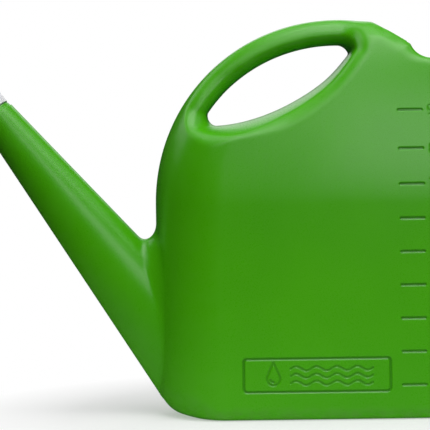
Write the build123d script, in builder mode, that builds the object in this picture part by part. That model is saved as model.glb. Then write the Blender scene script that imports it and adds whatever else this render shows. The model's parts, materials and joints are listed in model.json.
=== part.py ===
from build123d import *
import math
import os

# Garden watering can of about nine litres, in millimetres.
# The tank, the looped grip and the spout are one hollow moulding, kept here as three solids that
# meet face to face. A white rose with a sprinkler face plugs into the spout's neck and is sealed
# by an O-ring.
# Frame: origin at the centre of the tank's flat underside, +Z up, +X to the rear, spout to -X.

os.makedirs("parts", exist_ok=True)

# Driving dimensions ------------------------------------------------------------------------------
TANK_LENGTH = 325.6
TANK_WIDTH = 118.0
TOTAL_HEIGHT = 350.0
WALL = 2.2

BASE_ROUND_HEIGHT = 28.0  # height of the rounding between the walls and the flat base
BASE_ROUND_WIDTH = 11.0  # how far that rounding comes in along the two long sides
TAPER_HEIGHT = 188.0  # height over which the sides would close completely above the arch centre
TAPER_POWER = 1.5
TOWER_ROUND = 14.0  # rounding along the top of the filler tower

GRIP_THICKNESS = 22.0
GRIP_WIDTH = 34.0
GRIP_START_ANGLE = 24.0  # where the grip rises out of the nose, from the front round the arch
GRIP_END_ANGLE = 100.0  # where it sinks into the filler tower

RIM_HEIGHT = 312.0  # level part of the tank's top, round the filler mouth
SLOPE_TOP = (40.0, 340.8)  # sloping back of the tower, X and Z
SLOPE_FOOT = (63.55, 325.2)
SLOPE_LEAD = 15.0  # the cut along the slope starts this far in front of it
SCOOP_CENTRE = (80.9, 330.0)  # hollow between the slope and the level top
MOUTH_LENGTH = 66.0
MOUTH_WIDTH = 60.0
MOUTH_CORNER = 26.0
MOUTH_CENTRE_X = 118.0
LIP_HEIGHT = 3.0
LIP_THICKNESS = 3.0

SPOUT_TIP = (-303.6, 268.7)  # centre of the spout's shoulder, X and Z
SPOUT_ANGLE = 52.0  # rise of the spout's axis above the horizontal
SPOUT_TIP_RADIUS = 16.0
SPOUT_TAPER = 0.091  # growth of the half-depth per millimetre down the spout, seen from the side
SPOUT_SIDE_TAPER = 0.033  # the same across the can
SPOUT_LENGTH = 288.0  # from the shoulder down to a section that lies inside the tank
NECK_RADIUS = 14.9
NECK_LENGTH = 3.8
NECK_BORE_RADIUS = 12.0
NECK_BORE_DEPTH = 18.0
BORE_EASE_LENGTH = 26.0  # the bore opens out over this length below the neck

LITRES = 9
FIRST_MARK_HEIGHT = 30.0
LITRE_PITCH = 28.5  # rise of the water for one litre beside the spout's root
UPPER_LITRE_PITCH = 29.3  # the same above the root, if the tank's walls stayed upright
ROOT_TOP = 165.0  # height where the spout's root ends
MARK_START_X = 48.0
MARK_LENGTH = 22.0
GROOVE_WIDTH = 2.2
GROOVE_DEPTH = 0.9
PANEL_CENTRE = (-24.5, 39.2)
PANEL_LENGTH = 128.0
PANEL_HEIGHT = 30.5
PANEL_CORNER = 4.0

SLIDING_GAP = 0.05  # radial gap between the rose's spigot, the O-ring and the neck's bore
REST_GAP = 0.8  # gap between the rose's shoulder and the lip of the neck
SEAL_TUBE_RADIUS = 0.78
SEAL_DEPTH = 7.0  # distance of the O-ring below the lip of the neck
SPIGOT_LENGTH = 15.0
STEM_BORE_RADIUS = 9.0
STEM_RADIUS = 15.2
STEM_LENGTH = 22.0
ROSE_TILT = 22.0  # how far the sprinkler face is turned down from the spout's axis
ROSE_RADIUS = 37.5
ROSE_CONE_LENGTH = 38.0
ROSE_RIM_LENGTH = 7.0
ROSE_RIM_STEP = 1.0  # how far the rim stands out from the cone
ROSE_WALL = 2.0
ROSE_EDGE_RADIUS = 0.8
STEM_EDGE_RADIUS = 0.5
FACE_THICKNESS = 2.0
FACE_CROWN = 3.0
FACE_FLANGE = 4.0
FACE_RECESS = 1.0  # the face's edge lies this far inside the rim
FACE_RINGS = ((7.0, 6), (13.5, 12), (20.0, 18), (26.5, 24))  # ring radius, holes in the ring
SPRINKLE_RADIUS = 1.0

# Values worked out from them ---------------------------------------------------------------------
ARCH_RADIUS = TANK_LENGTH / 2
ARCH_HEIGHT = TOTAL_HEIGHT - ARCH_RADIUS
HALF_WIDTH = TANK_WIDTH / 2
SLOPE_FALL = (SLOPE_TOP[1] - SLOPE_FOOT[1]) / (SLOPE_FOOT[0] - SLOPE_TOP[0])
SCOOP_ANGLE = math.degrees(math.atan2(SCOOP_CENTRE[1] - SLOPE_FOOT[1], SCOOP_CENTRE[0] - SLOPE_FOOT[0]))
ABOVE_CAN = (ARCH_RADIUS + 10, TOTAL_HEIGHT + 20)  # a corner clear of the can, for cuts

# Levels of the tank's sections: parts of the base rounding's height, and parts of the arch's radius
BASE_LEVELS = (0.0, 0.03, 0.12, 0.3, 0.6, 1.0)
ARCH_LEVELS = (0.0, 0.09, 0.22, 0.37, 0.53, 0.69, 0.81, 0.905, 0.95, 0.98, 0.9975)

# The shelf under the grip, in the middle of the can and at its two sides, X and Z
SHELF_MIDDLE = ((-176, 297), (-146, 267), (-108, 256.6), (-55, 269.4), (-14, 292), (12, 319), (20, 360))
SHELF_SIDE = ((-176, 281), (-146, 247), (-112, 234.6), (-55, 250.4), (-14, 274), (19, 302.5), (39, 360))


def half_width(height):
    """Half of the tank's width at a height: upright walls, then drawn in towards the top."""
    rise = height - ARCH_HEIGHT
    if rise <= 0:
        return HALF_WIDTH
    width = HALF_WIDTH * math.sqrt(1 - (rise / TAPER_HEIGHT) ** TAPER_POWER)
    into_round = max(0.0, height - (TOTAL_HEIGHT - TOWER_ROUND))
    return width - TOWER_ROUND + math.sqrt(TOWER_ROUND**2 - into_round**2)


def front_reach(height, radius=ARCH_RADIUS):
    """Distance of the nose in front of the origin at a height, for an arch of the given radius."""
    rise = max(0.0, height - ARCH_HEIGHT)
    return math.sqrt(radius**2 - rise**2)


def moved_in(points, distance):
    """The points of an open outline, each moved square to the line, to its right."""
    moved = []
    for here, (x, z) in enumerate(points):
        before = points[max(here - 1, 0)]
        after = points[min(here + 1, len(points) - 1)]
        run, rise = after[0] - before[0], after[1] - before[1]
        length = math.hypot(run, rise)
        moved.append((x + distance * rise / length, z - distance * run / length))
    return moved


def litre_marks():
    """Heights of the litre marks: the pitch widens where the tank's section is smaller."""
    heights = [FIRST_MARK_HEIGHT]
    while len(heights) < LITRES:
        middle = heights[-1] + LITRE_PITCH / 2
        section = (front_reach(middle) + ARCH_RADIUS) * half_width(middle)
        pitch = LITRE_PITCH if heights[-1] < ROOT_TOP else UPPER_LITRE_PITCH
        heights.append(heights[-1] + pitch * TANK_LENGTH * HALF_WIDTH / section)
    return heights


def tank_solid(inset):
    """The tank as a filled solid, shrunk by inset on every side."""
    with BuildPart() as filled:
        # rounded base
        for part_of_height in BASE_LEVELS:
            round_height = BASE_ROUND_HEIGHT - inset
            shrink = 1 - math.sqrt(1 - (1 - part_of_height) ** 2)
            length = ARCH_RADIUS - inset - round_height * shrink
            width = HALF_WIDTH - inset - (BASE_ROUND_WIDTH - inset) * shrink
            with BuildSketch(Plane.XY.offset(inset + part_of_height * round_height)):
                SlotOverall(2 * length, 2 * width)
        loft()
        # upright walls
        with BuildSketch(Plane.XY.offset(BASE_ROUND_HEIGHT)):
            SlotOverall(2 * (ARCH_RADIUS - inset), 2 * (HALF_WIDTH - inset))
        extrude(amount=ARCH_HEIGHT - BASE_ROUND_HEIGHT)
        # arched nose and drawn-in sides
        for rise in ARCH_LEVELS:
            level = ARCH_HEIGHT + rise * (ARCH_RADIUS - inset)
            front = front_reach(level, ARCH_RADIUS - inset)
            rear = ARCH_RADIUS - inset
            with BuildSketch(Plane.XY.offset(level)):
                with Locations(((rear - front) / 2, 0)):
                    SlotOverall(front + rear, 2 * (half_width(level) - inset))
        loft()
        add(space_behind_tower(inset), mode=Mode.SUBTRACT)
        add(hand_space(inset), mode=Mode.SUBTRACT)
    return filled.part


def hand_space(inset):
    """The space for the hand over the crowned shelf, with the shelf moved into the tank by inset."""
    with BuildPart() as space:
        for side, outline in ((-1, SHELF_SIDE), (0, SHELF_MIDDLE), (1, SHELF_SIDE)):
            edge = moved_in(outline, inset)
            with BuildSketch(Plane.XZ.offset(side * (HALF_WIDTH + 1))):
                with BuildLine():
                    shelf = Spline(*edge)
                    above_rear, above_front = (edge[-1][0], ABOVE_CAN[1]), (edge[0][0], ABOVE_CAN[1])
                    Polyline(shelf @ 1, above_rear, above_front, shelf @ 0)
                make_face()
        loft()
    return space.part


def space_behind_tower(inset):
    """What is cut away above the tower's sloping back, the scoop and the level top."""
    slope_start = (
        SLOPE_TOP[0] - SLOPE_LEAD,
        SLOPE_TOP[1] + SLOPE_LEAD * SLOPE_FALL - inset * math.hypot(1, SLOPE_FALL),
    )
    scoop_radius = SCOOP_CENTRE[1] - RIM_HEIGHT + inset
    with BuildPart() as space:
        with BuildSketch(Plane.XZ):
            with BuildLine():
                scoop = CenterArc(SCOOP_CENTRE, scoop_radius, 180 + SCOOP_ANGLE, 90 - SCOOP_ANGLE)
                Polyline(
                    scoop @ 1,
                    (ABOVE_CAN[0], RIM_HEIGHT - inset),
                    ABOVE_CAN,
                    (slope_start[0], ABOVE_CAN[1]),
                    slope_start,
                    scoop @ 0,
                )
            make_face()
        extrude(amount=TANK_WIDTH, both=True)
    return space.part


def grip_solid(inset):
    """The grip as a filled solid: an oval section swung round the arch, shrunk by inset."""
    arch_centre = (0, 0, ARCH_HEIGHT)
    forward, up = -math.cos(math.radians(GRIP_START_ANGLE)), math.sin(math.radians(GRIP_START_ANGLE))
    with BuildPart() as filled:
        with BuildSketch(Plane(origin=arch_centre, x_dir=(forward, 0, up), z_dir=(-up, 0, forward))):
            with Locations((ARCH_RADIUS - GRIP_THICKNESS / 2, 0)):
                Ellipse(GRIP_THICKNESS / 2 - inset, GRIP_WIDTH / 2 - inset)
        revolve(axis=Axis(arch_centre, (0, 1, 0)), revolution_arc=GRIP_END_ANGLE - GRIP_START_ANGLE)
    return filled.part


def spout_plane(distance):
    """Plane square to the spout's axis, a distance down from its shoulder, facing the tip."""
    forward, up = -math.cos(math.radians(SPOUT_ANGLE)), math.sin(math.radians(SPOUT_ANGLE))
    centre = (SPOUT_TIP[0] - distance * forward, 0, SPOUT_TIP[1] - distance * up)
    return Plane(origin=centre, x_dir=(up, 0, -forward), z_dir=(forward, 0, up))


def spout_section(distance, inset):
    """Oval across the spout, a distance down its axis from the shoulder."""
    with BuildSketch(spout_plane(distance)) as oval:
        Ellipse(
            SPOUT_TIP_RADIUS + SPOUT_TAPER * distance - inset,
            SPOUT_TIP_RADIUS + SPOUT_SIDE_TAPER * distance - inset,
        )
    return oval.sketch


def bar_on_spout(radius, start, end):
    """Round bar on the spout's axis, between two distances from the shoulder."""
    with BuildPart() as bar:
        with BuildSketch(spout_plane(end)):
            Circle(radius)
        extrude(amount=end - start)
    return bar.part


def flare(start_radius, end_radius):
    """Side of the sprinkler cone: leaves the stem along its axis and opens out towards the rim."""
    start = (start_radius, 0)
    along_stem = (start_radius, 0.35 * ROSE_CONE_LENGTH)
    before_rim = (start_radius + 0.58 * (end_radius - start_radius), 0.6 * ROSE_CONE_LENGTH)
    return Bezier(start, along_stem, before_rim, (end_radius, ROSE_CONE_LENGTH))


def head_arc(level, radius, crown):
    """Quarter section of a crowned disc on the rose head's axis: from its top out to its edge."""
    sphere = (radius**2 + crown**2) / (2 * crown)
    swing = math.degrees(math.asin(radius / sphere))
    return CenterArc((0, level + crown - sphere), sphere, 90 - swing, swing)


# Space inside the moulding -----------------------------------------------------------------------
tank_space = tank_solid(WALL)
grip_space = grip_solid(WALL)

BORE_OPEN = NECK_BORE_DEPTH + BORE_EASE_LENGTH
with BuildPart() as spout_space:
    add(bar_on_spout(NECK_BORE_RADIUS, -NECK_LENGTH - 1, NECK_BORE_DEPTH))
    with BuildSketch(spout_plane(NECK_BORE_DEPTH)) as round_bore:
        Circle(NECK_BORE_RADIUS)
    loft([round_bore.sketch.face(), spout_section(BORE_OPEN, WALL).face()], ruled=True)
    loft([spout_section(BORE_OPEN, WALL).face(), spout_section(SPOUT_LENGTH, WALL).face()], ruled=True)

# Tank --------------------------------------------------------------------------------------------
with BuildPart() as tank:
    add(tank_solid(0))
    # raised lip round the filler mouth
    with BuildSketch(Plane.XY.offset(RIM_HEIGHT - WALL)):
        with Locations((MOUTH_CENTRE_X, 0)):
            RectangleRounded(
                MOUTH_LENGTH + 2 * LIP_THICKNESS,
                MOUTH_WIDTH + 2 * LIP_THICKNESS,
                MOUTH_CORNER + LIP_THICKNESS,
            )
    extrude(amount=WALL + LIP_HEIGHT)
    add(tank_space, mode=Mode.SUBTRACT)
    add(grip_space, mode=Mode.SUBTRACT)
    add(spout_space.part, mode=Mode.SUBTRACT)
    # filler mouth
    with BuildSketch(Plane.XY.offset(RIM_HEIGHT + 2 * LIP_HEIGHT)):
        with Locations((MOUTH_CENTRE_X, 0)):
            RectangleRounded(MOUTH_LENGTH, MOUTH_WIDTH, MOUTH_CORNER)
    extrude(amount=-6 * LIP_HEIGHT, mode=Mode.SUBTRACT)
    # litre marks and panel frame, sunk into both sides
    for side in (-1, 1):
        for mark_height in litre_marks():
            floor_of_groove = half_width(mark_height) - GROOVE_DEPTH
            with BuildSketch(Plane.XZ.offset(side * floor_of_groove)):
                with Locations((MARK_START_X + MARK_LENGTH / 2, mark_height)):
                    SlotOverall(MARK_LENGTH, GROOVE_WIDTH)
            extrude(amount=side * HALF_WIDTH, mode=Mode.SUBTRACT)
        with BuildSketch(Plane.XZ.offset(side * (HALF_WIDTH - GROOVE_DEPTH))):
            with Locations(PANEL_CENTRE):
                RectangleRounded(PANEL_LENGTH, PANEL_HEIGHT, PANEL_CORNER)
                RectangleRounded(
                    PANEL_LENGTH - 2 * GROOVE_WIDTH,
                    PANEL_HEIGHT - 2 * GROOVE_WIDTH,
                    PANEL_CORNER - GROOVE_WIDTH,
                    mode=Mode.SUBTRACT,
                )
        extrude(amount=side * HALF_WIDTH, mode=Mode.SUBTRACT)

# Grip --------------------------------------------------------------------------------------------
with BuildPart() as grip:
    add(grip_solid(0))
    add(hand_space(0), mode=Mode.INTERSECT)
    add(grip_space, mode=Mode.SUBTRACT)

# Spout -------------------------------------------------------------------------------------------
with BuildPart() as spout:
    loft([spout_section(0, 0).face(), spout_section(SPOUT_LENGTH, 0).face()], ruled=True)
    add(bar_on_spout(NECK_RADIUS, -NECK_LENGTH, 0))
    add(tank_solid(0), mode=Mode.SUBTRACT)
    add(spout_space.part, mode=Mode.SUBTRACT)

# Rose seal: O-ring -------------------------------------------------------------------------------
SEAL_RADIUS = NECK_BORE_RADIUS - SLIDING_GAP - SEAL_TUBE_RADIUS
SEAL_PLANE = spout_plane(SEAL_DEPTH - NECK_LENGTH)
with BuildPart() as rose_seal:
    with BuildSketch(Plane(origin=SEAL_PLANE.origin, x_dir=SEAL_PLANE.x_dir, z_dir=(0, 1, 0))):
        with Locations((SEAL_RADIUS, 0)):
            Circle(SEAL_TUBE_RADIUS)
    revolve(axis=Axis(SEAL_PLANE.origin, SEAL_PLANE.z_dir))

# Rose body: spigot, stem and sprinkler cone ------------------------------------------------------
STEM_START = -NECK_LENGTH - REST_GAP
STEM_END = STEM_START - STEM_LENGTH
ELBOW = spout_plane(STEM_END).origin
HEAD_ANGLE = math.radians(SPOUT_ANGLE - ROSE_TILT)
HEAD_DIRECTION = (-math.cos(HEAD_ANGLE), 0, math.sin(HEAD_ANGLE))
# sketches on this plane have X across the head and Y along it
HEAD_SECTION = Plane(origin=ELBOW, x_dir=(math.sin(HEAD_ANGLE), 0, math.cos(HEAD_ANGLE)), z_dir=(0, -1, 0))
HEAD_AXIS = Axis(ELBOW, HEAD_DIRECTION)
HEAD_LENGTH = ROSE_CONE_LENGTH + ROSE_RIM_LENGTH
SEAT_LEVEL = HEAD_LENGTH - FACE_RECESS - FACE_THICKNESS
GROOVE_HALF = SEAL_TUBE_RADIUS + 4 * SLIDING_GAP

with BuildPart() as rose_body:
    add(bar_on_spout(NECK_BORE_RADIUS - SLIDING_GAP, STEM_START, STEM_START + SPIGOT_LENGTH))
    add(bar_on_spout(STEM_RADIUS, STEM_END, STEM_START))
    add(Pos(*ELBOW) * Sphere(STEM_RADIUS, mode=Mode.PRIVATE))
    with BuildSketch(HEAD_SECTION):
        with BuildLine():
            outside = flare(STEM_RADIUS, ROSE_RADIUS - ROSE_RIM_STEP)
            Polyline(
                outside @ 1,
                (ROSE_RADIUS, ROSE_CONE_LENGTH),
                (ROSE_RADIUS, HEAD_LENGTH),
                (0, HEAD_LENGTH),
                (0, 0),
                outside @ 0,
            )
        make_face()
    revolve(axis=HEAD_AXIS)
    # rounded edges of the rim and of the stem's shoulder
    stem_foot = spout_plane(STEM_START).origin
    circles = rose_body.edges().filter_by(GeomType.CIRCLE)
    fillet(circles.filter_by(lambda edge: edge.radius > ROSE_RADIUS - 0.01), ROSE_EDGE_RADIUS)
    circles = rose_body.edges().filter_by(GeomType.CIRCLE)
    shoulder_edge = circles.filter_by(
        lambda edge: edge.radius > NECK_BORE_RADIUS and (edge.arc_center - stem_foot).length < SLIDING_GAP
    )
    fillet(shoulder_edge, STEM_EDGE_RADIUS)
    # hollow of the cone and the seat of the sprinkler face
    with BuildSketch(HEAD_SECTION):
        with BuildLine():
            inside = flare(STEM_RADIUS - ROSE_WALL, ROSE_RADIUS - 2 * ROSE_WALL - ROSE_RIM_STEP)
            Polyline(
                inside @ 1,
                (ROSE_RADIUS - 2 * ROSE_WALL - ROSE_RIM_STEP, SEAT_LEVEL),
                (ROSE_RADIUS - ROSE_WALL, SEAT_LEVEL),
                (ROSE_RADIUS - ROSE_WALL, HEAD_LENGTH + 1),
                (0, HEAD_LENGTH + 1),
                (0, 0),
                inside @ 0,
            )
        make_face()
    revolve(axis=HEAD_AXIS, mode=Mode.SUBTRACT)
    add(Pos(*ELBOW) * Sphere(STEM_RADIUS - ROSE_WALL, mode=Mode.PRIVATE), mode=Mode.SUBTRACT)
    add(bar_on_spout(STEM_BORE_RADIUS, STEM_END, STEM_START + SPIGOT_LENGTH + 1), mode=Mode.SUBTRACT)
    # groove for the O-ring
    with BuildPart(mode=Mode.PRIVATE) as seal_groove:
        add(bar_on_spout(STEM_RADIUS, SEAL_DEPTH - NECK_LENGTH - GROOVE_HALF, SEAL_DEPTH - NECK_LENGTH + GROOVE_HALF))
        add(
            bar_on_spout(
                SEAL_RADIUS - SEAL_TUBE_RADIUS - SLIDING_GAP,
                SEAL_DEPTH - NECK_LENGTH - GROOVE_HALF,
                SEAL_DEPTH - NECK_LENGTH + GROOVE_HALF,
            ),
            mode=Mode.SUBTRACT,
        )
    add(seal_groove.part, mode=Mode.SUBTRACT)

# Rose face: crowned plate with rings of sprinkler holes ------------------------------------------
FACE_RADIUS = ROSE_RADIUS - ROSE_WALL - SLIDING_GAP
DOME_RADIUS = FACE_RADIUS - FACE_FLANGE
FACE_PLANE = Plane(origin=ELBOW, x_dir=(0, 1, 0), z_dir=HEAD_DIRECTION).offset(SEAT_LEVEL)
with BuildPart() as rose_face:
    with BuildSketch(HEAD_SECTION):
        with BuildLine():
            outside = head_arc(SEAT_LEVEL + FACE_THICKNESS, DOME_RADIUS, FACE_CROWN)
            inside = head_arc(SEAT_LEVEL, DOME_RADIUS, FACE_CROWN)
            Polyline(
                outside @ 0,
                (FACE_RADIUS, SEAT_LEVEL + FACE_THICKNESS),
                (FACE_RADIUS, SEAT_LEVEL),
                inside @ 0,
            )
            Line(inside @ 1, outside @ 1)
        make_face()
    revolve(axis=HEAD_AXIS)
    with BuildSketch(FACE_PLANE):
        Circle(SPRINKLE_RADIUS)
        for ring_radius, holes in FACE_RINGS:
            with PolarLocations(ring_radius, holes):
                Circle(SPRINKLE_RADIUS)
    extrude(amount=2 * (FACE_THICKNESS + FACE_CROWN), mode=Mode.SUBTRACT)

# Write each piece --------------------------------------------------------------------------------
for name, piece in (
    ("tank", tank),
    ("grip", grip),
    ("spout", spout),
    ("rose_seal", rose_seal),
    ("rose_body", rose_body),
    ("rose_face", rose_face),
):
    piece.part.label = name
    export_step(piece.part, f"parts/{name}.step")
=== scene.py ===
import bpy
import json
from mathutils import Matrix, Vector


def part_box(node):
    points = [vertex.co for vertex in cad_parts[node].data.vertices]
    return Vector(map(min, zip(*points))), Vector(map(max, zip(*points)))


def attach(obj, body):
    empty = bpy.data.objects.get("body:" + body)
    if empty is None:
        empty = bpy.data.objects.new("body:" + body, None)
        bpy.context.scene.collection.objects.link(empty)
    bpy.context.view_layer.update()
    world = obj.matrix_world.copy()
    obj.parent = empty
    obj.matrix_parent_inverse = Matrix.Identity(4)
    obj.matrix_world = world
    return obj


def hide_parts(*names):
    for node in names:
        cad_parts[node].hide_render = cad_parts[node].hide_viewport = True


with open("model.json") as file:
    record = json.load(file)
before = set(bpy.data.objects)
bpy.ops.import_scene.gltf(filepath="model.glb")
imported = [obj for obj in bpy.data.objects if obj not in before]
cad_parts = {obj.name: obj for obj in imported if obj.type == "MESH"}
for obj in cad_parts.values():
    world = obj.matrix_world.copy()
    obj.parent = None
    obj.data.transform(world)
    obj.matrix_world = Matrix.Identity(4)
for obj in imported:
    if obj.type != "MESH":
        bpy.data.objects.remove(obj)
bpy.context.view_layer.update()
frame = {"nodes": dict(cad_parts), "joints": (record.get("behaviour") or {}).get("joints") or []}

import json
import math

import bmesh
import bpy
import numpy as np
from mathutils import Matrix, Vector

# A nine-litre garden watering can. The moulding is shaped in millimetres, as the CAD model is, by a
# field that is negative inside it, and comes out as one mesh in metres. Joins and edges are fillets of
# that field, as on a blow moulding.
MM = 0.001

# Sizes read from the frame -----------------------------------------------------------------------
TANK_LOW, TANK_HIGH = (np.array(corner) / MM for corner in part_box("tank"))
_, GRIP_HIGH = (np.array(corner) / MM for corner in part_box("grip"))
TURN = next(joint for joint in frame["joints"] if joint["name"] == "rose_turn")
SPOUT_TIP = np.array(TURN["pos_m"]) / MM  # centre of the spout's shoulder
SPOUT_AXIS = np.array(TURN["axis"])  # towards the rose

SEAM_HEIGHT = 0.3  # the parting line stands this far out of the moulding, inside the CAD box
ARCH_RADIUS = (TANK_HIGH[0] - TANK_LOW[0]) / 2 - SEAM_HEIGHT
TOTAL_HEIGHT = GRIP_HIGH[2] - SEAM_HEIGHT
ARCH_HEIGHT = TOTAL_HEIGHT - ARCH_RADIUS  # height of the arch's centre
HALF_WIDTH = (TANK_HIGH[1] - TANK_LOW[1]) / 2

# The moulding's other sizes, in millimetres --------------------------------------------------------
WALL = 2.2
ARCH_POWER = 2.02  # slightly squarer than a circle
SIDE_BELLY = 0.7  # how far the long sides bulge
SIDE_WAVE = 0.22  # unevenness of the long sides as the moulding cools
NOSE_DRAFT, NOSE_DRAFT_POWER = 1.55, 1.5  # how far the nose comes in at the base
TAPER_HEIGHT = 188.0
TAPER_POWER = 1.5
CREST_LEAN = 0.95  # the tower's sloping back nearly carries on from the arch
CREST_LEAN_REACH, CREST_LEAN_END = (2.0, 16.0), 60.0  # it fades towards the sides and stops behind
CREST_EDGE = 16.0  # rounding along the top of the tower
CREST_START_X, CREST_END_X = (12.0, 40.0), (45.0, 75.0)  # where that rounding sets in and ends
BASE_EDGE = 10.0  # rounding under the long sides
NOSE_BASE_EDGE = 26.8  # rounding under the nose
BASE_END_REACH, BASE_END_FULL = 60.0, 14.0  # from the end, where the one rounding turns into the other
BASE_RECESS = 2.0  # hollow of the underside inside its standing rim
STANDING_RIM, RECESS_FALL = 13.0, 8.0
SHELF_EDGE, SHELF_END_EDGE = 3.2, 7.0  # rounding along the shelf's sides, midway and at both ends
SHELF_FRONT_X, SHELF_REAR_X = (-118.0, -88.0), (-30.0, 8.0)  # where the rounding changes
SHELF_LOW_X, SHELF_LOW_Z = -112.0, 256.5  # lowest point of the shelf, under the grip's root
SHELF_RISE, SHELF_POWER = 0.0058, 1.9
SHELF_FRONT_RISE = 0.012
SHELF_RAMP_X, SHELF_RAMP, SHELF_RAMP_BLEND = -6.0, 0.22, 10.0  # near the tower the shelf gets steeper
SHELF_CROWN = 12.5  # how much lower the shelf is at CROWN_REACH from the middle
CROWN_REACH = 50.0
SHELF_TOWER_FILLET, SHELF_TOWER_LEAN = 5.0, 0.7
TOWER_FRONT = 12.0
TOWER_BOW = 12.0  # how far the tower's front comes back at CROWN_REACH from the middle
SLOPE_TOP = (40.0, 340.8)
SLOPE_ANGLE = math.radians(33.5)
SLOPE_END = 66.0  # behind this place the slope no longer bounds the top
SLOPE_RELEASE = 1.2  # how fast it lets go there
SLOPE_SCOOP_EDGE, SLOPE_SCOOP_LEAN = 3.0, 0.7
TOP_EDGE, TOP_EDGE_DROP = 15.0, 9.0  # rounding beside the slope, and how much less it is at the mouth
TOP_EDGE_X = (48.0, 78.0)  # where it gets less
REAR_STEEPNESS = 0.8  # takes the arch out of the way of the level top
SCOOP_CENTRE = (80.9, 330.0)
RIM_HEIGHT = 312.0
SCOOP_RADIUS = SCOOP_CENTRE[1] - RIM_HEIGHT
GRIP_HALF_WIDTH = 17.0
GRIP_THICKNESS = 21.7
GRIP_EDGE = 9.5
GRIP_FILLET, GRIP_REAR_FILLET = 8.5, 2.5  # fillet round the hand hole, and what its rear end adds
GRIP_LEAN = 0.6  # the shelf and the grip's underside close in on each other at the front
GRIP_REAR_X = (-60.0, -20.0)  # where the front's way of filleting turns into the rear's
GRIP_EDGE_TURN, GRIP_EDGE_END = (30.0, 60.0), 60.0  # degrees of the arch where the grip's rounding starts
ROOT_WIDENING = 8.0  # how much wider the grip gets on each side at its front root
ROOT_TURN = (28.0, 50.0)  # degrees of the arch over which it does
SPOUT_TIP_RADIUS = 16.0
SPOUT_TAPER, SPOUT_SIDE_TAPER = 0.091, 0.033
SPOUT_LENGTH = 292.0
SPOUT_END_EDGE = 5.0
SADDLE_SIDE, SADDLE_TOP = 5.0, 10.3  # fillets where the spout leaves the nose
SADDLE_LEAN = 0.62
SADDLE_TURN = (0.2, 0.9)  # how far up the spout's side the one fillet turns into the other
NECK_RADIUS = 14.9
NECK_BORE_RADIUS = 12.0
NECK_BORE_DEPTH = 18.0
BORE_EASE_LENGTH = 26.0
NECK_LENGTH = 3.8
SHOULDER_EDGE = 0.5
NECK_LIP = 0.6  # rounding of the neck's end
MOUTH_CENTRE_X = 118.0
MOUTH_HALF_LENGTH, MOUTH_HALF_WIDTH, MOUTH_CORNER = 33.0, 30.0, 26.0
LIP_HEIGHT = 3.0
LIP_ROUND = 1.1  # height of the lip's rounded edge
LIP_FILLET = 1.5

# Marks sunk into both sides
LITRES = 9
FIRST_MARK_HEIGHT, LITRE_PITCH, UPPER_LITRE_PITCH = 30.0, 28.5, 29.3
ROOT_TOP = 165.0  # above the spout's root the water rises faster
MARK_START_X, MARK_END_X = 48.0, 70.0
GROOVE_HALF_WIDTH, GROOVE_DEPTH = 1.1, 0.9
NUMERAL_X = 74.5
NUMERAL_HEIGHT, NUMERAL_WIDTH = 8.0, 5.0
STROKE_HALF_WIDTH, STROKE_DEPTH = 0.62, 0.55
PANEL_CENTRE = (-24.5, 39.2)
PANEL_HALF_LENGTH, PANEL_HALF_HEIGHT, PANEL_CORNER = 62.9, 14.15, 3.0
DROP_CENTRE, DROP_RADIUS, DROP_HEIGHT = (-62.0, 36.2), 5.6, 14.0
WAVE_START_X, WAVE_END_X, WAVE_LENGTH, WAVE_SWING = -47.0, 23.0, 17.5, 1.7
WAVE_ROWS = (32.4, 38.6, 44.8)
MOTIF_HALF_WIDTH, MOTIF_DEPTH = 0.95, 0.6
EDGE_SOFTNESS = 0.45  # half the width over which a sunk mark's edge falls


def smoothstep(low, high, value):
    """0 below low, 1 above high, and a smooth rise between."""
    part = np.clip((value - low) / (high - low), 0, 1)
    return part * part * (3 - 2 * part)


def meet(a, b, radius, lean=0.0):
    """What is inside both fields, with an outer edge of that radius.

    lean is the cosine of the angle between the two surfaces' outward directions.
    """
    u, v = a + radius, b + radius
    round_edge = np.sqrt(np.maximum(u * u + v * v - 2 * lean * u * v, 0) / (1 - lean**2)) - radius
    return np.where((u > lean * v) & (v > lean * u), round_edge, np.maximum(a, b))


def join(a, b, radius, lean=0.0):
    """What is inside either field, with a fillet of that radius."""
    return -meet(-a, -b, radius, lean)


def rounded_box(u, v, half_u, half_v, corner):
    """Distance from the outline of a rounded rectangle, negative inside."""
    du, dv = np.abs(u) - half_u + corner, np.abs(v) - half_v + corner
    return np.hypot(np.maximum(du, 0), np.maximum(dv, 0)) + np.minimum(np.maximum(du, dv), 0) - corner


# The moulding as a field ---------------------------------------------------------------------------
def half_width(x, z):
    """Half of the tank's width: nearly upright sides with a slight belly, drawn in towards the top."""
    rise = np.clip(z - ARCH_HEIGHT, 0, 0.95 * TAPER_HEIGHT)
    width = (HALF_WIDTH - SIDE_WAVE) * np.sqrt(1 - (rise / TAPER_HEIGHT) ** TAPER_POWER)
    along = np.clip(np.abs(x) / (ARCH_RADIUS - HALF_WIDTH), 0, 1)
    # slow waves that don't repeat within the side
    wave = np.sin(x / 27.0 + 0.8) * np.sin(z / 33.0 + 0.4) * 0.6 + np.sin(x / 15.0 - z / 21.0) * 0.4
    return width - SIDE_BELLY * (1 - np.cos(math.pi * along)) / 2 + SIDE_WAVE * wave


def arch_reach(x, z):
    """Distance from the arch's axis, which runs across the can, and the turn from the front."""
    rise = np.maximum(z - ARCH_HEIGHT, 0)
    reach = (np.abs(x) ** ARCH_POWER + rise**ARCH_POWER) ** (1 / ARCH_POWER)
    return reach, np.degrees(np.arctan2(rise, -x))


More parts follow.
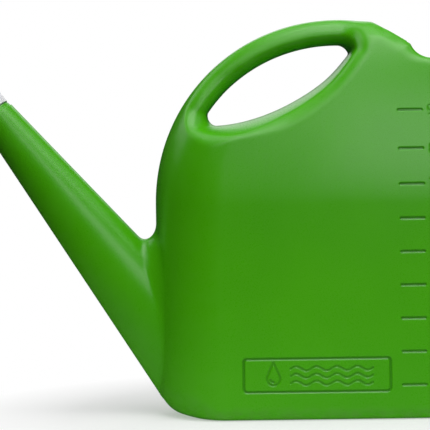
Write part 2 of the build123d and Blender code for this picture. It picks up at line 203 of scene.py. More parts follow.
def envelope(x, y, z):
    """The tank before the hand's space is cut: arched nose, sides, rear, tower and rounded base."""
    reach, _ = arch_reach(x, z)
    half = half_width(x, z)
    draft = NOSE_DRAFT * np.clip((ARCH_HEIGHT - z) / ARCH_HEIGHT, 0, 1) ** NOSE_DRAFT_POWER
    arch = reach - ARCH_RADIUS + draft * (x < 0) - REAR_STEEPNESS * np.maximum(x - SLOPE_TOP[0], 0)
    ends = np.maximum(arch, x - ARCH_RADIUS)
    crest = smoothstep(*CREST_START_X, x) * (1 - smoothstep(*CREST_END_X, x))
    outline = meet(np.abs(y) - half, ends, half + (CREST_EDGE - half) * crest)
    slope = (x - SLOPE_TOP[0]) * math.sin(SLOPE_ANGLE) + (z - SLOPE_TOP[1]) * math.cos(SLOPE_ANGLE)
    slope = slope - SLOPE_RELEASE * np.maximum(x - SLOPE_END, 0)
    ahead, below = SCOOP_CENTRE[0] - x, SCOOP_CENTRE[1] - z
    corner = np.hypot(np.maximum(ahead, 0), np.maximum(below, 0))
    scoop = SCOOP_RADIUS - corner - np.minimum(np.maximum(ahead, below), 0)
    top = meet(slope, scoop, SLOPE_SCOOP_EDGE, SLOPE_SCOOP_LEAN)
    lean = CREST_LEAN * smoothstep(*CREST_LEAN_REACH, half - np.abs(y)) * (x < CREST_LEAN_END)
    body = meet(outline, top, TOP_EDGE - TOP_EDGE_DROP * smoothstep(*TOP_EDGE_X, x), lean)
    end_share = smoothstep(ARCH_RADIUS - BASE_END_REACH, ARCH_RADIUS - BASE_END_FULL, np.abs(x))
    underside = BASE_RECESS * smoothstep(STANDING_RIM, STANDING_RIM + RECESS_FALL, -outline)
    return meet(body, underside - z, BASE_EDGE + (NOSE_BASE_EDGE - BASE_EDGE) * end_share)


def below_hand(x, y, z):
    """What stays of the envelope: under the crowned shelf, behind the tower's front, or in the grip."""
    behind = np.maximum(x - SHELF_LOW_X, 0)
    ahead = np.maximum(SHELF_LOW_X - x, 0)
    past_ramp = np.hypot(x - SHELF_RAMP_X, SHELF_RAMP_BLEND)
    lie = SHELF_LOW_Z + SHELF_RISE * behind**SHELF_POWER + SHELF_FRONT_RISE * ahead**2
    lie = lie + SHELF_RAMP * (x - SHELF_RAMP_X + past_ramp) - SHELF_CROWN * (y / CROWN_REACH) ** 2
    steep = SHELF_POWER * SHELF_RISE * behind ** (SHELF_POWER - 1) - 2 * SHELF_FRONT_RISE * ahead
    steep = steep + SHELF_RAMP * (1 + (x - SHELF_RAMP_X) / past_ramp)
    shelf = (z - lie) / np.hypot(1, steep)
    tower = TOWER_FRONT + TOWER_BOW * (y / CROWN_REACH) ** 2 - x
    reach, turn = arch_reach(x, z)
    root = 1 - smoothstep(*ROOT_TURN, turn)
    under = ARCH_RADIUS - GRIP_THICKNESS - reach
    grip = meet(np.abs(y) - GRIP_HALF_WIDTH - ROOT_WIDENING * root, under, GRIP_EDGE)
    rear = smoothstep(*GRIP_REAR_X, x)
    floor = join(shelf, tower, SHELF_TOWER_FILLET, SHELF_TOWER_LEAN)
    return join(floor, grip, GRIP_FILLET + GRIP_REAR_FILLET * rear, -GRIP_LEAN * (1 - rear))


def spout_frame(x, z):
    """Distance down the spout from its shoulder, and distance across it in the middle plane."""
    dx, dz = x - SPOUT_TIP[0], z - SPOUT_TIP[2]
    return -dx * SPOUT_AXIS[0] - dz * SPOUT_AXIS[2], dx * SPOUT_AXIS[2] - dz * SPOUT_AXIS[0]


def spout_halves(down):
    """Half of the spout's depth and half of its width, a distance down from its shoulder."""
    down = np.maximum(down, -20)
    return SPOUT_TIP_RADIUS + SPOUT_TAPER * down, SPOUT_TIP_RADIUS + SPOUT_SIDE_TAPER * down


def spout_field(x, y, z):
    """The spout: an oval cone with a rounded shoulder and a plain neck."""
    down, across = spout_frame(x, z)
    half_depth, half_side = spout_halves(down)
    cone = (np.hypot(across / half_depth, y / half_side) - 1) * np.sqrt(half_depth * half_side)
    cone = meet(meet(cone, -down, SHOULDER_EDGE), down - SPOUT_LENGTH, SPOUT_END_EDGE)
    neck = np.maximum(np.hypot(across, y) - NECK_RADIUS, np.maximum(-down - NECK_LENGTH - 6, down - 10))
    return join(cone, neck, SHOULDER_EDGE)


def mouth_outline(x, y, outward):
    """Distance from the filler mouth's outline moved outward."""
    return rounded_box(
        x - MOUTH_CENTRE_X,
        y,
        MOUTH_HALF_LENGTH + outward,
        MOUTH_HALF_WIDTH + outward,
        MOUTH_CORNER + outward,
    )


def can_field(x, y, z):
    """The whole moulding, filled and closed, negative inside."""
    _, turn = arch_reach(x, z)
    grip_edges = smoothstep(*GRIP_EDGE_TURN, turn) * (x < GRIP_EDGE_END)
    ends = 1 - smoothstep(*SHELF_FRONT_X, x) + smoothstep(*SHELF_REAR_X, x)
    edge = SHELF_EDGE + (SHELF_END_EDGE - SHELF_EDGE) * ends
    body = meet(envelope(x, y, z), below_hand(x, y, z), edge + (GRIP_EDGE - edge) * grip_edges)
    _, across = spout_frame(x, z)
    upness = across / np.sqrt(across**2 + y**2 + 4)
    saddle = SADDLE_SIDE + (SADDLE_TOP - SADDLE_SIDE) * smoothstep(*SADDLE_TURN, upness)
    body = join(body, spout_field(x, y, z), saddle, -SADDLE_LEAN * upness)
    collar_ends = np.maximum(z - RIM_HEIGHT - 3 * LIP_HEIGHT, RIM_HEIGHT - 10 - z)
    return join(body, np.maximum(mouth_outline(x, y, WALL), collar_ends), LIP_FILLET)


def slope_of(field, points, step=0.05):
    """Gradient of a field at points, by central differences."""
    slopes = np.empty_like(points)
    for axis in range(3):
        ahead, behind = points.copy(), points.copy()
        ahead[:, axis] += step
        behind[:, axis] -= step
        slopes[:, axis] = (field(*ahead.T) - field(*behind.T)) / (2 * step)
    return slopes


def directions(vectors):
    """The vectors at unit length."""
    return vectors / np.maximum(np.linalg.norm(vectors, axis=1, keepdims=True), 1e-9)


def settle(field, points, rounds=3):
    """Points moved onto the surface where the field is zero."""
    for _ in range(rounds):
        slopes = slope_of(field, points)
        steepness = np.maximum((slopes**2).sum(1), 0.05)
        step = (field(*points.T) / steepness)[:, None] * slopes
        length = np.linalg.norm(step, axis=1, keepdims=True)
        points = points - step * np.minimum(1, 1.5 / np.maximum(length, 1e-9))
    return points


def surface_net(field, low, high, cell):
    """Quads over the surface where the field is zero: one vertex in each cell that it crosses."""
    axes = [np.arange(a, b + cell, cell) for a, b in zip(low, high)]
    grid = np.meshgrid(*axes, indexing="ij")
    value = field(*grid)
    inside = value < 0
    corner = [(i, j, k) for i in (0, 1) for j in (0, 1) for k in (0, 1)]
    shape = [n - 1 for n in value.shape]

    def at(array, offset):
        return array[tuple(slice(o, o + n) for o, n in zip(offset, shape))]

    count = sum(at(inside, offset).astype(np.int8) for offset in corner)
    cells = np.argwhere((count > 0) & (count < 8))
    number = np.full(shape, -1, np.int64)
    number[tuple(cells.T)] = np.arange(len(cells))
    total, crossings = np.zeros((len(cells), 3)), np.zeros(len(cells))
    for start in corner:
        for axis in range(3):
            if start[axis]:
                continue
            end = tuple(o + (n == axis) for n, o in enumerate(start))
            a, b = value[tuple((cells + start).T)], value[tuple((cells + end).T)]
            crossed = (a < 0) != (b < 0)
            part = np.where(crossed, a / np.where(crossed, a - b, 1), 0)
            place = np.tile(np.array(start, float), (len(cells), 1))
            place[:, axis] += part
            total += place * crossed[:, None]
            crossings += crossed
    points = np.array(low) + (cells + total / crossings[:, None]) * cell
    quads = []
    for axis in range(3):
        one, two = [n for n in range(3) if n != axis]
        ahead = tuple(slice(1, None) if n == axis else slice(None) for n in range(3))
        behind = tuple(slice(None, -1) if n == axis else slice(None) for n in range(3))
        edges = np.argwhere(inside[ahead] != inside[behind])
        edges = edges[(edges[:, one] > 0) & (edges[:, two] > 0)]
        edges = edges[(edges[:, one] < shape[one]) & (edges[:, two] < shape[two])]
        around = []
        for back_one, back_two in ((1, 1), (0, 1), (0, 0), (1, 0)):
            cell_at = edges.copy()
            cell_at[:, one] -= back_one
            cell_at[:, two] -= back_two
            around.append(number[tuple(cell_at.T)])
        around = np.stack(around, 1)
        flip = inside[tuple(edges.T)] == (axis == 1)
        around[flip] = around[flip][:, ::-1]
        quads.append(around)
    return points, np.concatenate(quads)


def relaxed(field, points, quads, rounds):
    """Points evened out along the surface, each towards the mean of its neighbours."""
    pairs = np.concatenate([quads[:, [n, (n + 1) % 4]] for n in range(4)])
    for _ in range(rounds):
        total = np.zeros_like(points)
        np.add.at(total, pairs[:, 0], points[pairs[:, 1]])
        np.add.at(total, pairs[:, 1], points[pairs[:, 0]])
        near = np.bincount(pairs.ravel(), minlength=len(points))[:, None]
        points = settle(field, 0.5 * points + 0.5 * total / near, 1)
    return settle(field, points)


# Marks sunk into the sides -------------------------------------------------------------------------
def line_distance(u, v, start, end):
    """Distance from a straight stroke."""
    run, rise = end[0] - start[0], end[1] - start[1]
    part = np.clip(((u - start[0]) * run + (v - start[1]) * rise) / (run**2 + rise**2), 0, 1)
    return np.hypot(u - start[0] - part * run, v - start[1] - part * rise)


def arc_distance(u, v, centre, radius, start, sweep):
    """Distance from an arc that starts and sweeps by angles in degrees, anticlockwise."""
    du, dv = u - centre[0], v - centre[1]
    middle = start + sweep / 2
    turn = (np.degrees(np.arctan2(dv, du)) - middle + 180) % 360 - 180
    at = np.radians(middle + np.clip(turn, -abs(sweep) / 2, abs(sweep) / 2))
    return np.hypot(du - radius * np.cos(at), dv - radius * np.sin(at))


def wave_distance(u, v, level):
    """Distance from one wavy line of the panel's motif."""
    pace = 2 * math.pi / WAVE_LENGTH
    along = np.clip(u, WAVE_START_X, WAVE_END_X)
    phase = pace * (along - WAVE_START_X)
    off = (v - level - WAVE_SWING * np.sin(phase)) / np.hypot(1, WAVE_SWING * pace * np.cos(phase))
    return np.hypot(off, u - along)


# Strokes of the numerals 1 to 9, in a box NUMERAL_WIDTH wide and NUMERAL_HEIGHT high
NUMERALS = (
    ((line_distance, (1.0, 6.3), (2.8, 8)), (line_distance, (2.8, 8), (2.8, 0))),
    (
        (arc_distance, (2.5, 5.6), 2.4, 170, -205),
        (line_distance, (4.47, 4.2), (0.2, 0)),
        (line_distance, (0.2, 0), (5, 0)),
    ),
    ((arc_distance, (2.4, 6.05), 1.95, 150, -240), (arc_distance, (2.4, 2.05), 2.05, 90, -240)),
    (
        (line_distance, (3.8, 0), (3.8, 8)),
        (line_distance, (3.8, 8), (0.2, 2.4)),
        (line_distance, (0.2, 2.4), (5, 2.4)),
    ),
    (
        (line_distance, (4.6, 8), (1.0, 8)),
        (line_distance, (1.0, 8), (0.6, 4.4)),
        (arc_distance, (2.4, 2.6), 2.6, 135, -270),
    ),
    ((arc_distance, (2.5, 2.4), 2.4, 0, 360), (arc_distance, (6.1, 2.4), 6.0, 180, -68)),
    ((line_distance, (0.2, 8), (5, 8)), (line_distance, (5, 8), (1.8, 0))),
    ((arc_distance, (2.5, 6.1), 1.9, 0, 360), (arc_distance, (2.5, 2.1), 2.1, 0, 360)),
    ((arc_distance, (2.5, 5.6), 2.4, 0, 360), (arc_distance, (-1.1, 5.6), 6.0, 0, -68)),
)


def litre_marks():
    """Heights of the litre marks: the pitch widens where the tank's section is smaller."""
    heights = [FIRST_MARK_HEIGHT]
    while len(heights) < LITRES:
        middle = heights[-1] + LITRE_PITCH / 2
        rise = max(0.0, middle - ARCH_HEIGHT)
        length = ARCH_RADIUS + math.sqrt(ARCH_RADIUS**2 - rise**2)
        width = HALF_WIDTH * math.sqrt(1 - (rise / TAPER_HEIGHT) ** TAPER_POWER)
        pitch = LITRE_PITCH if heights[-1] < ROOT_TOP else UPPER_LITRE_PITCH
        heights.append(heights[-1] + pitch * 2 * ARCH_RADIUS * HALF_WIDTH / (length * width))
    return heights


def sunk_marks(x, z, mirrored):
    """Each sunk mark of one side: the distance from its edge, negative inside, and its depth."""
    for number, height in enumerate(litre_marks()):
        groove_start = (MARK_START_X + GROOVE_HALF_WIDTH, height)
        groove_end = (MARK_END_X - GROOVE_HALF_WIDTH, height)
        yield line_distance(x, z, groove_start, groove_end) - GROOVE_HALF_WIDTH, GROOVE_DEPTH
        u = NUMERAL_X + NUMERAL_WIDTH - x if mirrored else x - NUMERAL_X
        v = z - height + NUMERAL_HEIGHT / 2
        for distance, *sizes in NUMERALS[number]:
            yield distance(u, v, *sizes) - STROKE_HALF_WIDTH, STROKE_DEPTH
    frame_line = rounded_box(
        x - PANEL_CENTRE[0], z - PANEL_CENTRE[1], PANEL_HALF_LENGTH, PANEL_HALF_HEIGHT, PANEL_CORNER
    )
    yield np.abs(frame_line) - GROOVE_HALF_WIDTH, GROOVE_DEPTH
    # a water drop and three ripples, the other way round on the far side
    u = 2 * PANEL_CENTRE[0] - x if mirrored else x
    tangent = math.degrees(math.acos(DROP_RADIUS / DROP_HEIGHT))
    motif = [arc_distance(u, z, DROP_CENTRE, DROP_RADIUS, 90 + tangent, 360 - 2 * tangent)]
    motif.append(arc_distance(u, z, DROP_CENTRE, DROP_RADIUS / 2, 200, 70))
    apex = (DROP_CENTRE[0], DROP_CENTRE[1] + DROP_HEIGHT)
    for lean in (-tangent, tangent):
        at = math.radians(90 + lean)
        touch = (DROP_CENTRE[0] + DROP_RADIUS * math.cos(at), DROP_CENTRE[1] + DROP_RADIUS * math.sin(at))
        motif.append(line_distance(u, z, apex, touch))
    motif += [wave_distance(u, z, level) for level in WAVE_ROWS]
    for distance in motif:
        yield distance - MOTIF_HALF_WIDTH, MOTIF_DEPTH


def sunk_depth(x, z, mirrored):
    """How deep the marks lie in a side at each place."""
    depth = np.zeros_like(x)
    for distance, amount in sunk_marks(x, z, mirrored):
        depth = np.maximum(depth, amount * (1 - smoothstep(-EDGE_SOFTNESS, EDGE_SOFTNESS, distance)))
    return depth


def mark_nearness(x, z, mirrored):
    """Distance from the nearest sunk mark's edge."""
    return np.min([distance for distance, _ in sunk_marks(x, z, mirrored)], axis=0)


# The moulding's mesh -------------------------------------------------------------------------------
CELL = 2.6
LOW_CORNER = (-331.5, -24.5 * CELL, -6.5)
HIGH_CORNER = (168.0, 24.5 * CELL, 357.0)
SEAM_STEPS = (0.7, 0.35)  # foot and top of the parting line's ridge, from the middle plane
MARK_CUTS = 5
BEND_ANGLE = 16.0
BEAD_STEPS = 5
LIP_CUT = RIM_HEIGHT + LIP_HEIGHT - LIP_ROUND
NECK_CUT = SPOUT_TIP + SPOUT_AXIS * (NECK_LENGTH - NECK_LIP)


def cut_open(bm, place, normal, near):
    """Cuts away what lies beyond a plane, among the faces that near() picks."""
    faces = [face for face in bm.faces if near(*face.calc_center_median())]
    parts = set(faces)
    for face in faces:
        parts.update(face.edges)
        parts.update(face.verts)
    bmesh.ops.bisect_plane(
        bm, geom=list(parts), dist=0.02, plane_co=place, plane_no=normal, clear_outer=True
    )
    rim = [vert for vert in bm.verts if vert.is_boundary and near(*vert.co)]
    bmesh.ops.remove_doubles(bm, verts=rim, dist=0.35)


def refine_bends(bm):
    """Halves the faces over which the surface turns by more than BEND_ANGLE."""
    places = vertex_array(bm)
    normals = directions(slope_of(can_field, places))
    keep = math.cos(math.radians(BEND_ANGLE))
    sharp = set()
    for face in bm.faces:
        first, second, third, *fourth = [normals[vert.index] for vert in face.verts]
        across = first @ third
        if fourth:
            across = min(across, second @ fourth[0])
        if across < keep:
            sharp.update(face.edges)
    bmesh.ops.subdivide_edges(bm, edges=list(sharp), cuts=1, use_grid_fill=True)
    added = vertex_array(bm)[len(places):]
    bm.verts.ensure_lookup_table()
    for number, point in enumerate(settle(can_field, added, 2), len(places)):
        bm.verts[number].co = point


def vertex_array(bm):
    """The places of a mesh's vertices, which are numbered anew."""
    bm.verts.index_update()
    return np.array([vert.co for vert in bm.verts], float)


def inner_points(points, normals):
    """The inside of the wall behind each outer point; in the neck it is the round bore."""
    inner = settle(lambda x, y, z: can_field(x, y, z) + WALL, points - WALL * normals, 2)
    down, across = spout_frame(points[:, 0], points[:, 2])
    near_tip = (points[:, 0] < SPOUT_TIP[0] + 60) & (np.abs(across) < 30)
    in_neck = near_tip & (down < NECK_BORE_DEPTH + BORE_EASE_LENGTH)
    off_axis = np.hypot(across, points[:, 1])
    # points of the shoulder, which lie out from the bore, go further down it
    slid = 0.6 * (np.clip(off_axis, NECK_RADIUS, NECK_RADIUS + 3) - NECK_RADIUS)
    ease = smoothstep(NECK_BORE_DEPTH, NECK_BORE_DEPTH + BORE_EASE_LENGTH, down)
    at = down + slid * (1 - ease)
    half_depth, half_side = spout_halves(down)
    depth = NECK_BORE_RADIUS + (half_depth - WALL - NECK_BORE_RADIUS) * ease
    side = NECK_BORE_RADIUS + (half_side - WALL - NECK_BORE_RADIUS) * ease
    turn = np.arctan2(points[:, 1] / half_side, across / half_depth)
    across_bore = np.cos(turn) * depth
    bore = np.stack(
        [
            SPOUT_TIP[0] - at * SPOUT_AXIS[0] + across_bore * SPOUT_AXIS[2],
            np.sin(turn) * side,
            SPOUT_TIP[2] - at * SPOUT_AXIS[2] - across_bore * SPOUT_AXIS[0],
        ],
        1,
    )
    share = np.where(in_neck, 1 - ease, 0)[:, None]
    return share * bore + (1 - share) * inner


def bead_rings(outer, inner, way, height):
    """Rounded rim between an outer and an inner edge: rings of points that bulge the given way."""
    middle, half = (outer + inner) / 2, (outer - inner) / 2
    angles = [math.pi * step / (BEAD_STEPS + 1) for step in range(1, BEAD_STEPS + 1)]
    return [middle + math.cos(angle) * half + math.sin(angle) * height * way for angle in angles]


def can_mesh():
    """The moulding in millimetres: points, faces, and how worn and how deep in a mark each point is."""
    points, quads = surface_net(can_field, LOW_CORNER, HIGH_CORNER, CELL)
    points = relaxed(can_field, points, quads, 4)
    bm = bmesh.new()
    for point in points:
        bm.verts.new(point)
    bm.verts.ensure_lookup_table()
    for quad in quads:
        bm.faces.new([bm.verts[n] for n in quad])

    def at_mouth(x, y, z):
        return z > RIM_HEIGHT + 1 and mouth_outline(x, y, 0) < 6

    def at_neck(x, y, z):
        return spout_frame(x, z)[0] < -0.5 and x < SPOUT_TIP[0] + 30

    for _ in range(2):
        refine_bends(bm)
    cut_open(bm, (0, 0, LIP_CUT), (0, 0, 1), at_mouth)
    cut_open(bm, NECK_CUT, SPOUT_AXIS, at_neck)
    # edges along the parting line
    for reach in SEAM_STEPS:
        for side in (-reach, reach):
            everything = list(bm.verts) + list(bm.edges) + list(bm.faces)
            bmesh.ops.bisect_plane(bm, geom=everything, dist=0.05, plane_co=(0, side, 0), plane_no=(0, 1, 0))

    outer = settle(can_field, vertex_array(bm))
    rim_mouth = np.array([vert.is_boundary and vert.co.x > 0 for vert in bm.verts])
    rim_neck = np.array([vert.is_boundary and vert.co.x < 0 for vert in bm.verts])
    outer[rim_mouth, 2] = LIP_CUT
    down, _ = spout_frame(outer[:, 0], outer[:, 2])
    outer[rim_neck] += ((down[rim_neck] + NECK_LENGTH - NECK_LIP)[:, None]) * SPOUT_AXIS
    normals = directions(slope_of(can_field, outer))
    inner = inner_points(outer, normals)
    inner_faces = [[vert.index for vert in face.verts][::-1] for face in bm.faces]
    rims = []
    for edge in bm.edges:
        if edge.is_boundary:
            loop = edge.link_loops[0]
            rims.append((loop.vert.index, loop.link_loop_next.vert.index))

    # finer faces where marks are sunk
    for vert, point in zip(bm.verts, outer):
        vert.co = point
    centres = np.array([face.calc_center_median() for face in bm.faces])
    bm.normal_update()
    facing = np.array([face.normal.y for face in bm.faces])
    near = np.full(len(centres), 99.0)
    for mirrored in (False, True):
        side = (facing > 0.6) if mirrored else (facing < -0.6)
        near[side] = mark_nearness(centres[side, 0], centres[side, 2], mirrored)
    fine = set()
    for face, distance in zip(bm.faces, near):
        if distance < 0.75 * CELL + EDGE_SOFTNESS:
            fine.update(face.edges)
    bmesh.ops.subdivide_edges(bm, edges=list(fine), cuts=MARK_CUTS, use_grid_fill=True)

    points = vertex_array(bm)
    settled = settle(can_field, points[len(outer):], 2)
    points = np.concatenate([outer, settled])
    normals = directions(slope_of(can_field, points))
    bend = convexity(points, normals)
    sunk = np.zeros(len(points))
    for mirrored in (False, True):
        side = (normals[:, 1] > 0.5) if mirrored else (normals[:, 1] < -0.5)
        sunk[side] = sunk_depth(points[side, 0], points[side, 2], mirrored)
    foot, top = SEAM_STEPS
    ridge = SEAM_HEIGHT * (1 - smoothstep(top, foot, np.abs(points[:, 1])))
    rim = np.zeros(len(points), bool)
    rim[: len(outer)] = rim_mouth | rim_neck
    ridge[rim] = 0
    shaped = points + normals * (ridge - sunk)[:, None]

    # wall, lip of the mouth and end of the neck
    first_inner = len(shaped)
    faces = [[vert.index for vert in face.verts] for face in bm.faces]
    faces += [[first_inner + n for n in face] for face in inner_faces]
    rim_at = np.flatnonzero(rim)
    rank = {n: place for place, n in enumerate(rim_at)}
    way = np.where(rim_mouth[rim_at][:, None], np.array((0.0, 0.0, 1.0)), SPOUT_AXIS)
    height = np.where(rim_mouth[rim_at], LIP_ROUND, NECK_LIP)[:, None]
    rings = bead_rings(outer[rim_at], inner[rim_at], way, height)
    first_ring = first_inner + len(inner)

    def ladder(n):
        bead = [first_ring + step * len(rim_at) + rank[n] for step in range(BEAD_STEPS)]
        return [n] + bead + [first_inner + n]

    for a, b in rims:
        ladder_a, ladder_b = ladder(a), ladder(b)
        for low in range(BEAD_STEPS + 1):
            faces.append([ladder_b[low], ladder_a[low], ladder_a[low + 1], ladder_b[low + 1]])
    everything = np.concatenate([shaped, inner] + rings)
    worn = np.zeros(len(everything))
    worn[: len(points)] = bend
    # how deep in a mark each point is; the material darkens the marks by it as painted shade
    hollow = np.zeros(len(everything))
    hollow[: len(points)] = sunk / GROOVE_DEPTH
    bm.free()
    return everything, faces, worn, hollow


def convexity(points, normals, step=1.5):
    """How sharply the surface turns away round each point, from 0 on flat or hollow places to 1."""
    across = directions(np.cross(normals, np.where(np.abs(normals[:, 2:]) < 0.9, (0, 0, 1.0), (1.0, 0, 0))))
    along = np.cross(normals, across)
    bend = np.zeros(len(points))
    for way in (across, along):
        ahead = directions(slope_of(can_field, points + step * way))
        behind = directions(slope_of(can_field, points - step * way))
        bend += ((ahead - behind) * way).sum(1) / (2 * step)
    return np.clip(bend / 0.2, 0, 1)


def piece_from(name, points, faces, body):
    """A smooth piece of the object, given in millimetres, that rides on a CAD body."""
    mesh = bpy.data.meshes.new(name)
    mesh.from_pydata((points * MM).tolist(), [], faces)
    mesh.shade_smooth()
    piece = bpy.data.objects.new(name, mesh)
    bpy.context.scene.collection.objects.link(piece)
    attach(piece, body)
    return piece


points, faces, worn, hollow = can_mesh()
can = piece_from("can_moulding", points, faces, "can")
can.data.attributes.new("worn", "FLOAT", "POINT").data.foreach_set("value", worn)
# the hollow attribute darkens the sunk marks in the material: painted shade
can.data.attributes.new("hollow", "FLOAT", "POINT").data.foreach_set("value", hollow)
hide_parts("tank", "grip", "spout")


# Materials -----------------------------------------------------------------------------------------
class Surface:
    """A node material built step by step round one Principled shader."""

    def __init__(self, name):
        self.material = bpy.data.materials.new(name)
        self.material.use_nodes = True
        self.nodes = self.material.node_tree.nodes
        self.links = self.material.node_tree.links
        self.shader = self.nodes["Principled BSDF"]
        self.place = self.nodes.new("ShaderNodeTexCoord").outputs["Object"]

    def link(self, value, socket):
        """Puts a number, a colour or a node's output into a socket."""
        if hasattr(value, "links"):
            self.links.new(value, socket)
        else:
            socket.default_value = value

    def noise(self, scale, detail=2.0, stretch=(1, 1, 1)):
        """Noise whose features are about 1 / scale metres across, stretched along the axes."""
        mapping = self.nodes.new("ShaderNodeMapping")
        mapping.inputs["Scale"].default_value = stretch
        self.links.new(self.place, mapping.inputs["Vector"])
        node = self.nodes.new("ShaderNodeTexNoise")
        node.inputs["Scale"].default_value = scale
        node.inputs["Detail"].default_value = detail
        self.links.new(mapping.outputs["Vector"], node.inputs["Vector"])
        return node.outputs["Fac"]

    def spread(self, value, low, high, to_low, to_high):
        """A value's range low to high spread over another range, held inside it."""
        node = self.nodes.new("ShaderNodeMapRange")
        for socket, number in zip(node.inputs[1:5], (low, high, to_low, to_high)):
            socket.default_value = number
        self.link(value, node.inputs[0])
        return node.outputs[0]

    def times(self, a, b):
        """Product of two values."""
        node = self.nodes.new("ShaderNodeMath")
        node.operation = "MULTIPLY"
        self.link(a, node.inputs[0])
        self.link(b, node.inputs[1])
        return node.outputs[0]

    def plus(self, a, b):
        """Sum of two values."""
        node = self.nodes.new("ShaderNodeMath")
        node.operation = "ADD"
        self.link(a, node.inputs[0])
        self.link(b, node.inputs[1])
        return node.outputs[0]

    def mixed(self, share, a, b):
        """Colour a turning into colour b."""
        node = self.nodes.new("ShaderNodeMix")
        node.data_type = "RGBA"
        self.link(share, node.inputs["Factor"])
        self.link(a, [s for s in node.inputs if s.name == "A" and s.type == "RGBA"][0])
        self.link(b, [s for s in node.inputs if s.name == "B" and s.type == "RGBA"][0])
        return [s for s in node.outputs if s.type == "RGBA"][0]

    def attribute(self, name):
        """A value stored on the mesh's points."""
        node = self.nodes.new("ShaderNodeAttribute")
        node.attribute_name = name
        return node.outputs["Fac"]

    def height(self):
        """Height above the ground at rest."""
        node = self.nodes.new("ShaderNodeSeparateXYZ")
        self.links.new(self.place, node.inputs[0])
        return node.outputs["Z"]

    def bump(self, height, distance):
        """Relief of that height, distance metres deep."""
        node = self.nodes.new("ShaderNodeBump")
        node.inputs["Distance"].default_value = distance
        self.link(height, node.inputs["Height"])
        self.links.new(node.outputs["Normal"], self.shader.inputs["Normal"])

    def finish(self, colour, roughness):
        """Sets the shader's colour and roughness and returns the material."""
        self.link(colour, self.shader.inputs["Base Color"])
        self.link(roughness, self.shader.inputs["Roughness"])
        return self.material


# The green where it is plain, deeper in patches, rubbed, dusty at the foot, and darkened in the sunk marks
# as painted shade.
GREEN = (0.068, 0.430, 0.0012, 1)
GREEN_DEEP = (0.061, 0.405, 0.0010, 1)
GREEN_SCUFFED = (0.120, 0.490, 0.040, 1)
GREEN_DUSTY = (0.100, 0.330, 0.035, 1)
# painted shade for the sunk marks, darker than the plain green
GREEN_MARK_SHADE = (0.030, 0.235, 0.0010, 1)


def green_plastic():
    """Blow-moulded polyethylene: satin, faintly mottled, rubbed pale on its edges, dusty at its foot, and
    darkened in its sunk marks as painted shade.
    """
    made = Surface("green_polyethylene")
    mottle = made.spread(made.noise(11, 3), 0.35, 0.65, 0, 1)
    colour = made.mixed(mottle, GREEN, GREEN_DEEP)
    patchy = made.spread(made.noise(70, 4), 0.42, 0.62, 0, 1)
    rubbed = made.times(made.times(made.attribute("worn"), patchy), 0.35)
    colour = made.mixed(rubbed, colour, GREEN_SCUFFED)
    # darker inside the sunk marks: painted shade
    colour = made.mixed(made.times(made.attribute("hollow"), 0.75), colour, GREEN_MARK_SHADE)
    low = made.spread(made.height(), 0.0, 0.014, 0.5, 0.0)
    dusty = made.times(low, made.spread(made.noise(120, 3), 0.4, 0.6, 0, 1))
    colour = made.mixed(dusty, colour, GREEN_DUSTY)
    fine = made.noise(1400, 2)
    streaks = made.noise(160, 2, (1, 1, 0.06))
    roughness = made.plus(made.spread(fine, 0.3, 0.7, 0.26, 0.31), made.times(rubbed, 0.35))
    made.bump(made.plus(made.times(fine, 0.35), streaks), 0.00007)
    made.shader.inputs["Specular IOR Level"].default_value = 0.42
    return made.finish(colour, roughness)


def white_plastic():
    """Moulded polypropylene: white, a little glossier, faintly yellowed in patches and scuffed."""
    made = Surface("white_polypropylene")
    mottle = made.spread(made.noise(40, 3), 0.35, 0.65, 0, 1)
    colour = made.mixed(mottle, (0.80, 0.80, 0.83, 1), (0.76, 0.76, 0.77, 1))
    scuffs = made.spread(made.noise(260, 4, (1, 1, 0.25)), 0.62, 0.72, 0, 0.5)
    colour = made.mixed(scuffs, colour, (0.66, 0.66, 0.66, 1))
    fine = made.noise(1800, 2)
    roughness = made.plus(made.spread(fine, 0.3, 0.7, 0.30, 0.38), made.times(scuffs, 0.3))
    made.bump(fine, 0.00004)
    return made.finish(colour, roughness)


def seal_rubber():
    """Nitrile rubber: near-black, matt, with a faint bloom."""
    made = Surface("seal_rubber")
    bloom = made.spread(made.noise(500, 3), 0.45, 0.7, 0, 1)
    colour = made.mixed(bloom, (0.018, 0.018, 0.019, 1), (0.045, 0.045, 0.047, 1))
    roughness = made.spread(made.noise(2500, 2), 0.3, 0.7, 0.5, 0.65)
    made.bump(made.noise(3000, 2), 0.00003)
    return made.finish(colour, roughness)


def give(piece, material):
    """The material in every slot of the piece."""
    if piece.data.materials:
        for number in range(len(piece.data.materials)):
            piece.data.materials[number] = material
    else:
        piece.data.materials.append(material)


white = white_plastic()
give(can, green_plastic())
give(frame["nodes"]["rose_body"], white)
give(frame["nodes"]["rose_face"], white)
give(frame["nodes"]["rose_seal"], seal_rubber())


# Studio --------------------------------------------------------------------------------------------
TABLE_RADIUS = 0.38  # the lit sheet under the can; beyond it the floor is plain white
TABLE_BLEND, TABLE_MARGIN = 0.14, 0.01  # the sheet turns white over this width, this far inside its edge
FLOOR_RADIUS = 30.0
FLOOR_GLOW = 0.4  # how much of the paper's brightness near the object is its own
FLOOR_WHITE = (0.93, 0.93, 0.93, 1)
RING_STEPS = 64


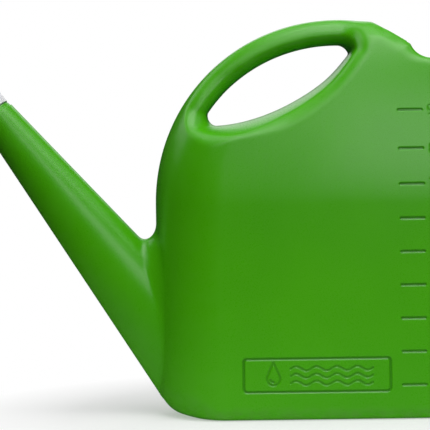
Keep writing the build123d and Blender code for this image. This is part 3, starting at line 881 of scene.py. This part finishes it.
def floor_paper():
    """Pale paper, lit near the object and turning to plain white towards the sheet's edge."""
    made = Surface("studio_paper")
    spread = made.nodes.new("ShaderNodeVectorMath")
    spread.operation = "LENGTH"
    made.links.new(made.place, spread.inputs[0])
    blend = (TABLE_RADIUS - TABLE_BLEND, TABLE_RADIUS - TABLE_MARGIN)
    share = made.spread(spread.outputs["Value"], *blend, FLOOR_GLOW, 1)
    glow = made.nodes.new("ShaderNodeEmission")
    mix = made.nodes.new("ShaderNodeMixShader")
    made.links.new(share, mix.inputs[0])
    made.links.new(made.shader.outputs[0], mix.inputs[1])
    made.links.new(glow.outputs[0], mix.inputs[2])
    made.links.new(mix.outputs[0], made.nodes["Material Output"].inputs["Surface"])
    made.shader.inputs["Specular IOR Level"].default_value = 0.1
    grain = made.noise(900, 2)
    made.bump(grain, 0.00005)
    return made.finish(FLOOR_WHITE, made.spread(grain, 0.3, 0.7, 0.85, 0.95))


def flat_ring(name, inner, outer, material):
    """A flat ring on the ground, which is part of the studio."""
    turns = [2 * math.pi * step / RING_STEPS for step in range(RING_STEPS)]
    points = [(size * math.cos(turn), size * math.sin(turn), 0) for size in (inner, outer) for turn in turns]
    steps = [(step, (step + 1) % RING_STEPS) for step in range(RING_STEPS)]
    quads = [(one, two, RING_STEPS + two, RING_STEPS + one) for one, two in steps]
    if not inner:
        points, quads = points[RING_STEPS:], [tuple(range(RING_STEPS))]
    mesh = bpy.data.meshes.new(name)
    mesh.from_pydata(points, [], quads)
    ring = bpy.data.objects.new(name, mesh)
    bpy.context.scene.collection.objects.link(ring)
    give(ring, material)
    return ring


# The sheet doesn't show in the can's gloss, and the floor beyond it doesn't light the can either.
paper = floor_paper()
table = flat_ring("floor", 0, TABLE_RADIUS, paper)
table.visible_glossy = False
surround = flat_ring("floor_surround", TABLE_RADIUS, FLOOR_RADIUS, paper)
surround.visible_diffuse = False
surround.visible_glossy = False

# World and lights ----------------------------------------------------------------------------------
ROOM_DIM = 0.02  # brightness of the studio beyond the lights
LIGHT_MIDDLE = Vector((0, 0, 0.2))  # what the lights face
LIGHT_DISTANCE = 1.5


def studio_world():
    """A nearly dark room that is plain white where it is seen directly."""
    world = bpy.data.worlds.new("studio")
    bpy.context.scene.world = world
    world.use_nodes = True
    nodes, links = world.node_tree.nodes, world.node_tree.links
    seen = nodes.new("ShaderNodeLightPath")
    brightness = nodes.new("ShaderNodeMath")
    brightness.operation = "MAXIMUM"
    links.new(seen.outputs["Is Camera Ray"], brightness.inputs[0])
    brightness.inputs[1].default_value = ROOM_DIM
    background = nodes["Background"]
    background.inputs["Color"].default_value = (1, 1, 1, 1)
    links.new(brightness.outputs[0], background.inputs["Strength"])


def area_light(name, turn, height, size, power):
    """A square soft light: turn degrees right of the front, height degrees above level."""
    turn, height = math.radians(turn), math.radians(height)
    level = math.cos(height)
    outward = Vector((math.sin(turn) * level, -math.cos(turn) * level, math.sin(height)))
    light = bpy.data.lights.new(name, "AREA")
    light.shape = "SQUARE"
    light.size = size
    light.energy = power
    lamp = bpy.data.objects.new(name, light)
    lamp.location = LIGHT_MIDDLE + LIGHT_DISTANCE * outward
    lamp.rotation_euler = outward.to_track_quat("Z", "Y").to_euler()
    bpy.context.scene.collection.objects.link(lamp)


studio_world()
area_light("low_front", 13, 18, 0.55, 3.2)
area_light("front", -8, 44, 0.9, 4)
area_light("high_front", 22, 64, 1.1, 12)
area_light("top", 0, 88, 1.2, 6.5)
area_light("rear", 180, 35, 0.9, 3)
area_light("right", 85, 48, 0.9, 2)
area_light("left", -105, 42, 0.9, 4)

# Camera --------------------------------------------------------------------------------------------
CAMERA_PLACE = (-0.110, -1.350, 0.1773)
CAMERA_ROLL = -0.8  # degrees
SENSOR_WIDTH = 36.0
VIEW_WIDTH = 0.3844  # width of the picture at the can's middle plane, in metres
camera_data = bpy.data.cameras.new("camera")
camera_data.sensor_width = SENSOR_WIDTH
camera_data.lens = SENSOR_WIDTH * -CAMERA_PLACE[1] / VIEW_WIDTH
camera_data.clip_end = 100
camera = bpy.data.objects.new("camera", camera_data)
level_view = Matrix.Translation(CAMERA_PLACE) @ Matrix.Rotation(math.radians(90), 4, "X")
camera.matrix_world = level_view @ Matrix.Rotation(math.radians(CAMERA_ROLL), 4, "Z")
bpy.context.scene.collection.objects.link(camera)
bpy.context.scene.camera = camera
bpy.context.scene.view_settings.view_transform = "Standard"

bpy.context.view_layer.update()
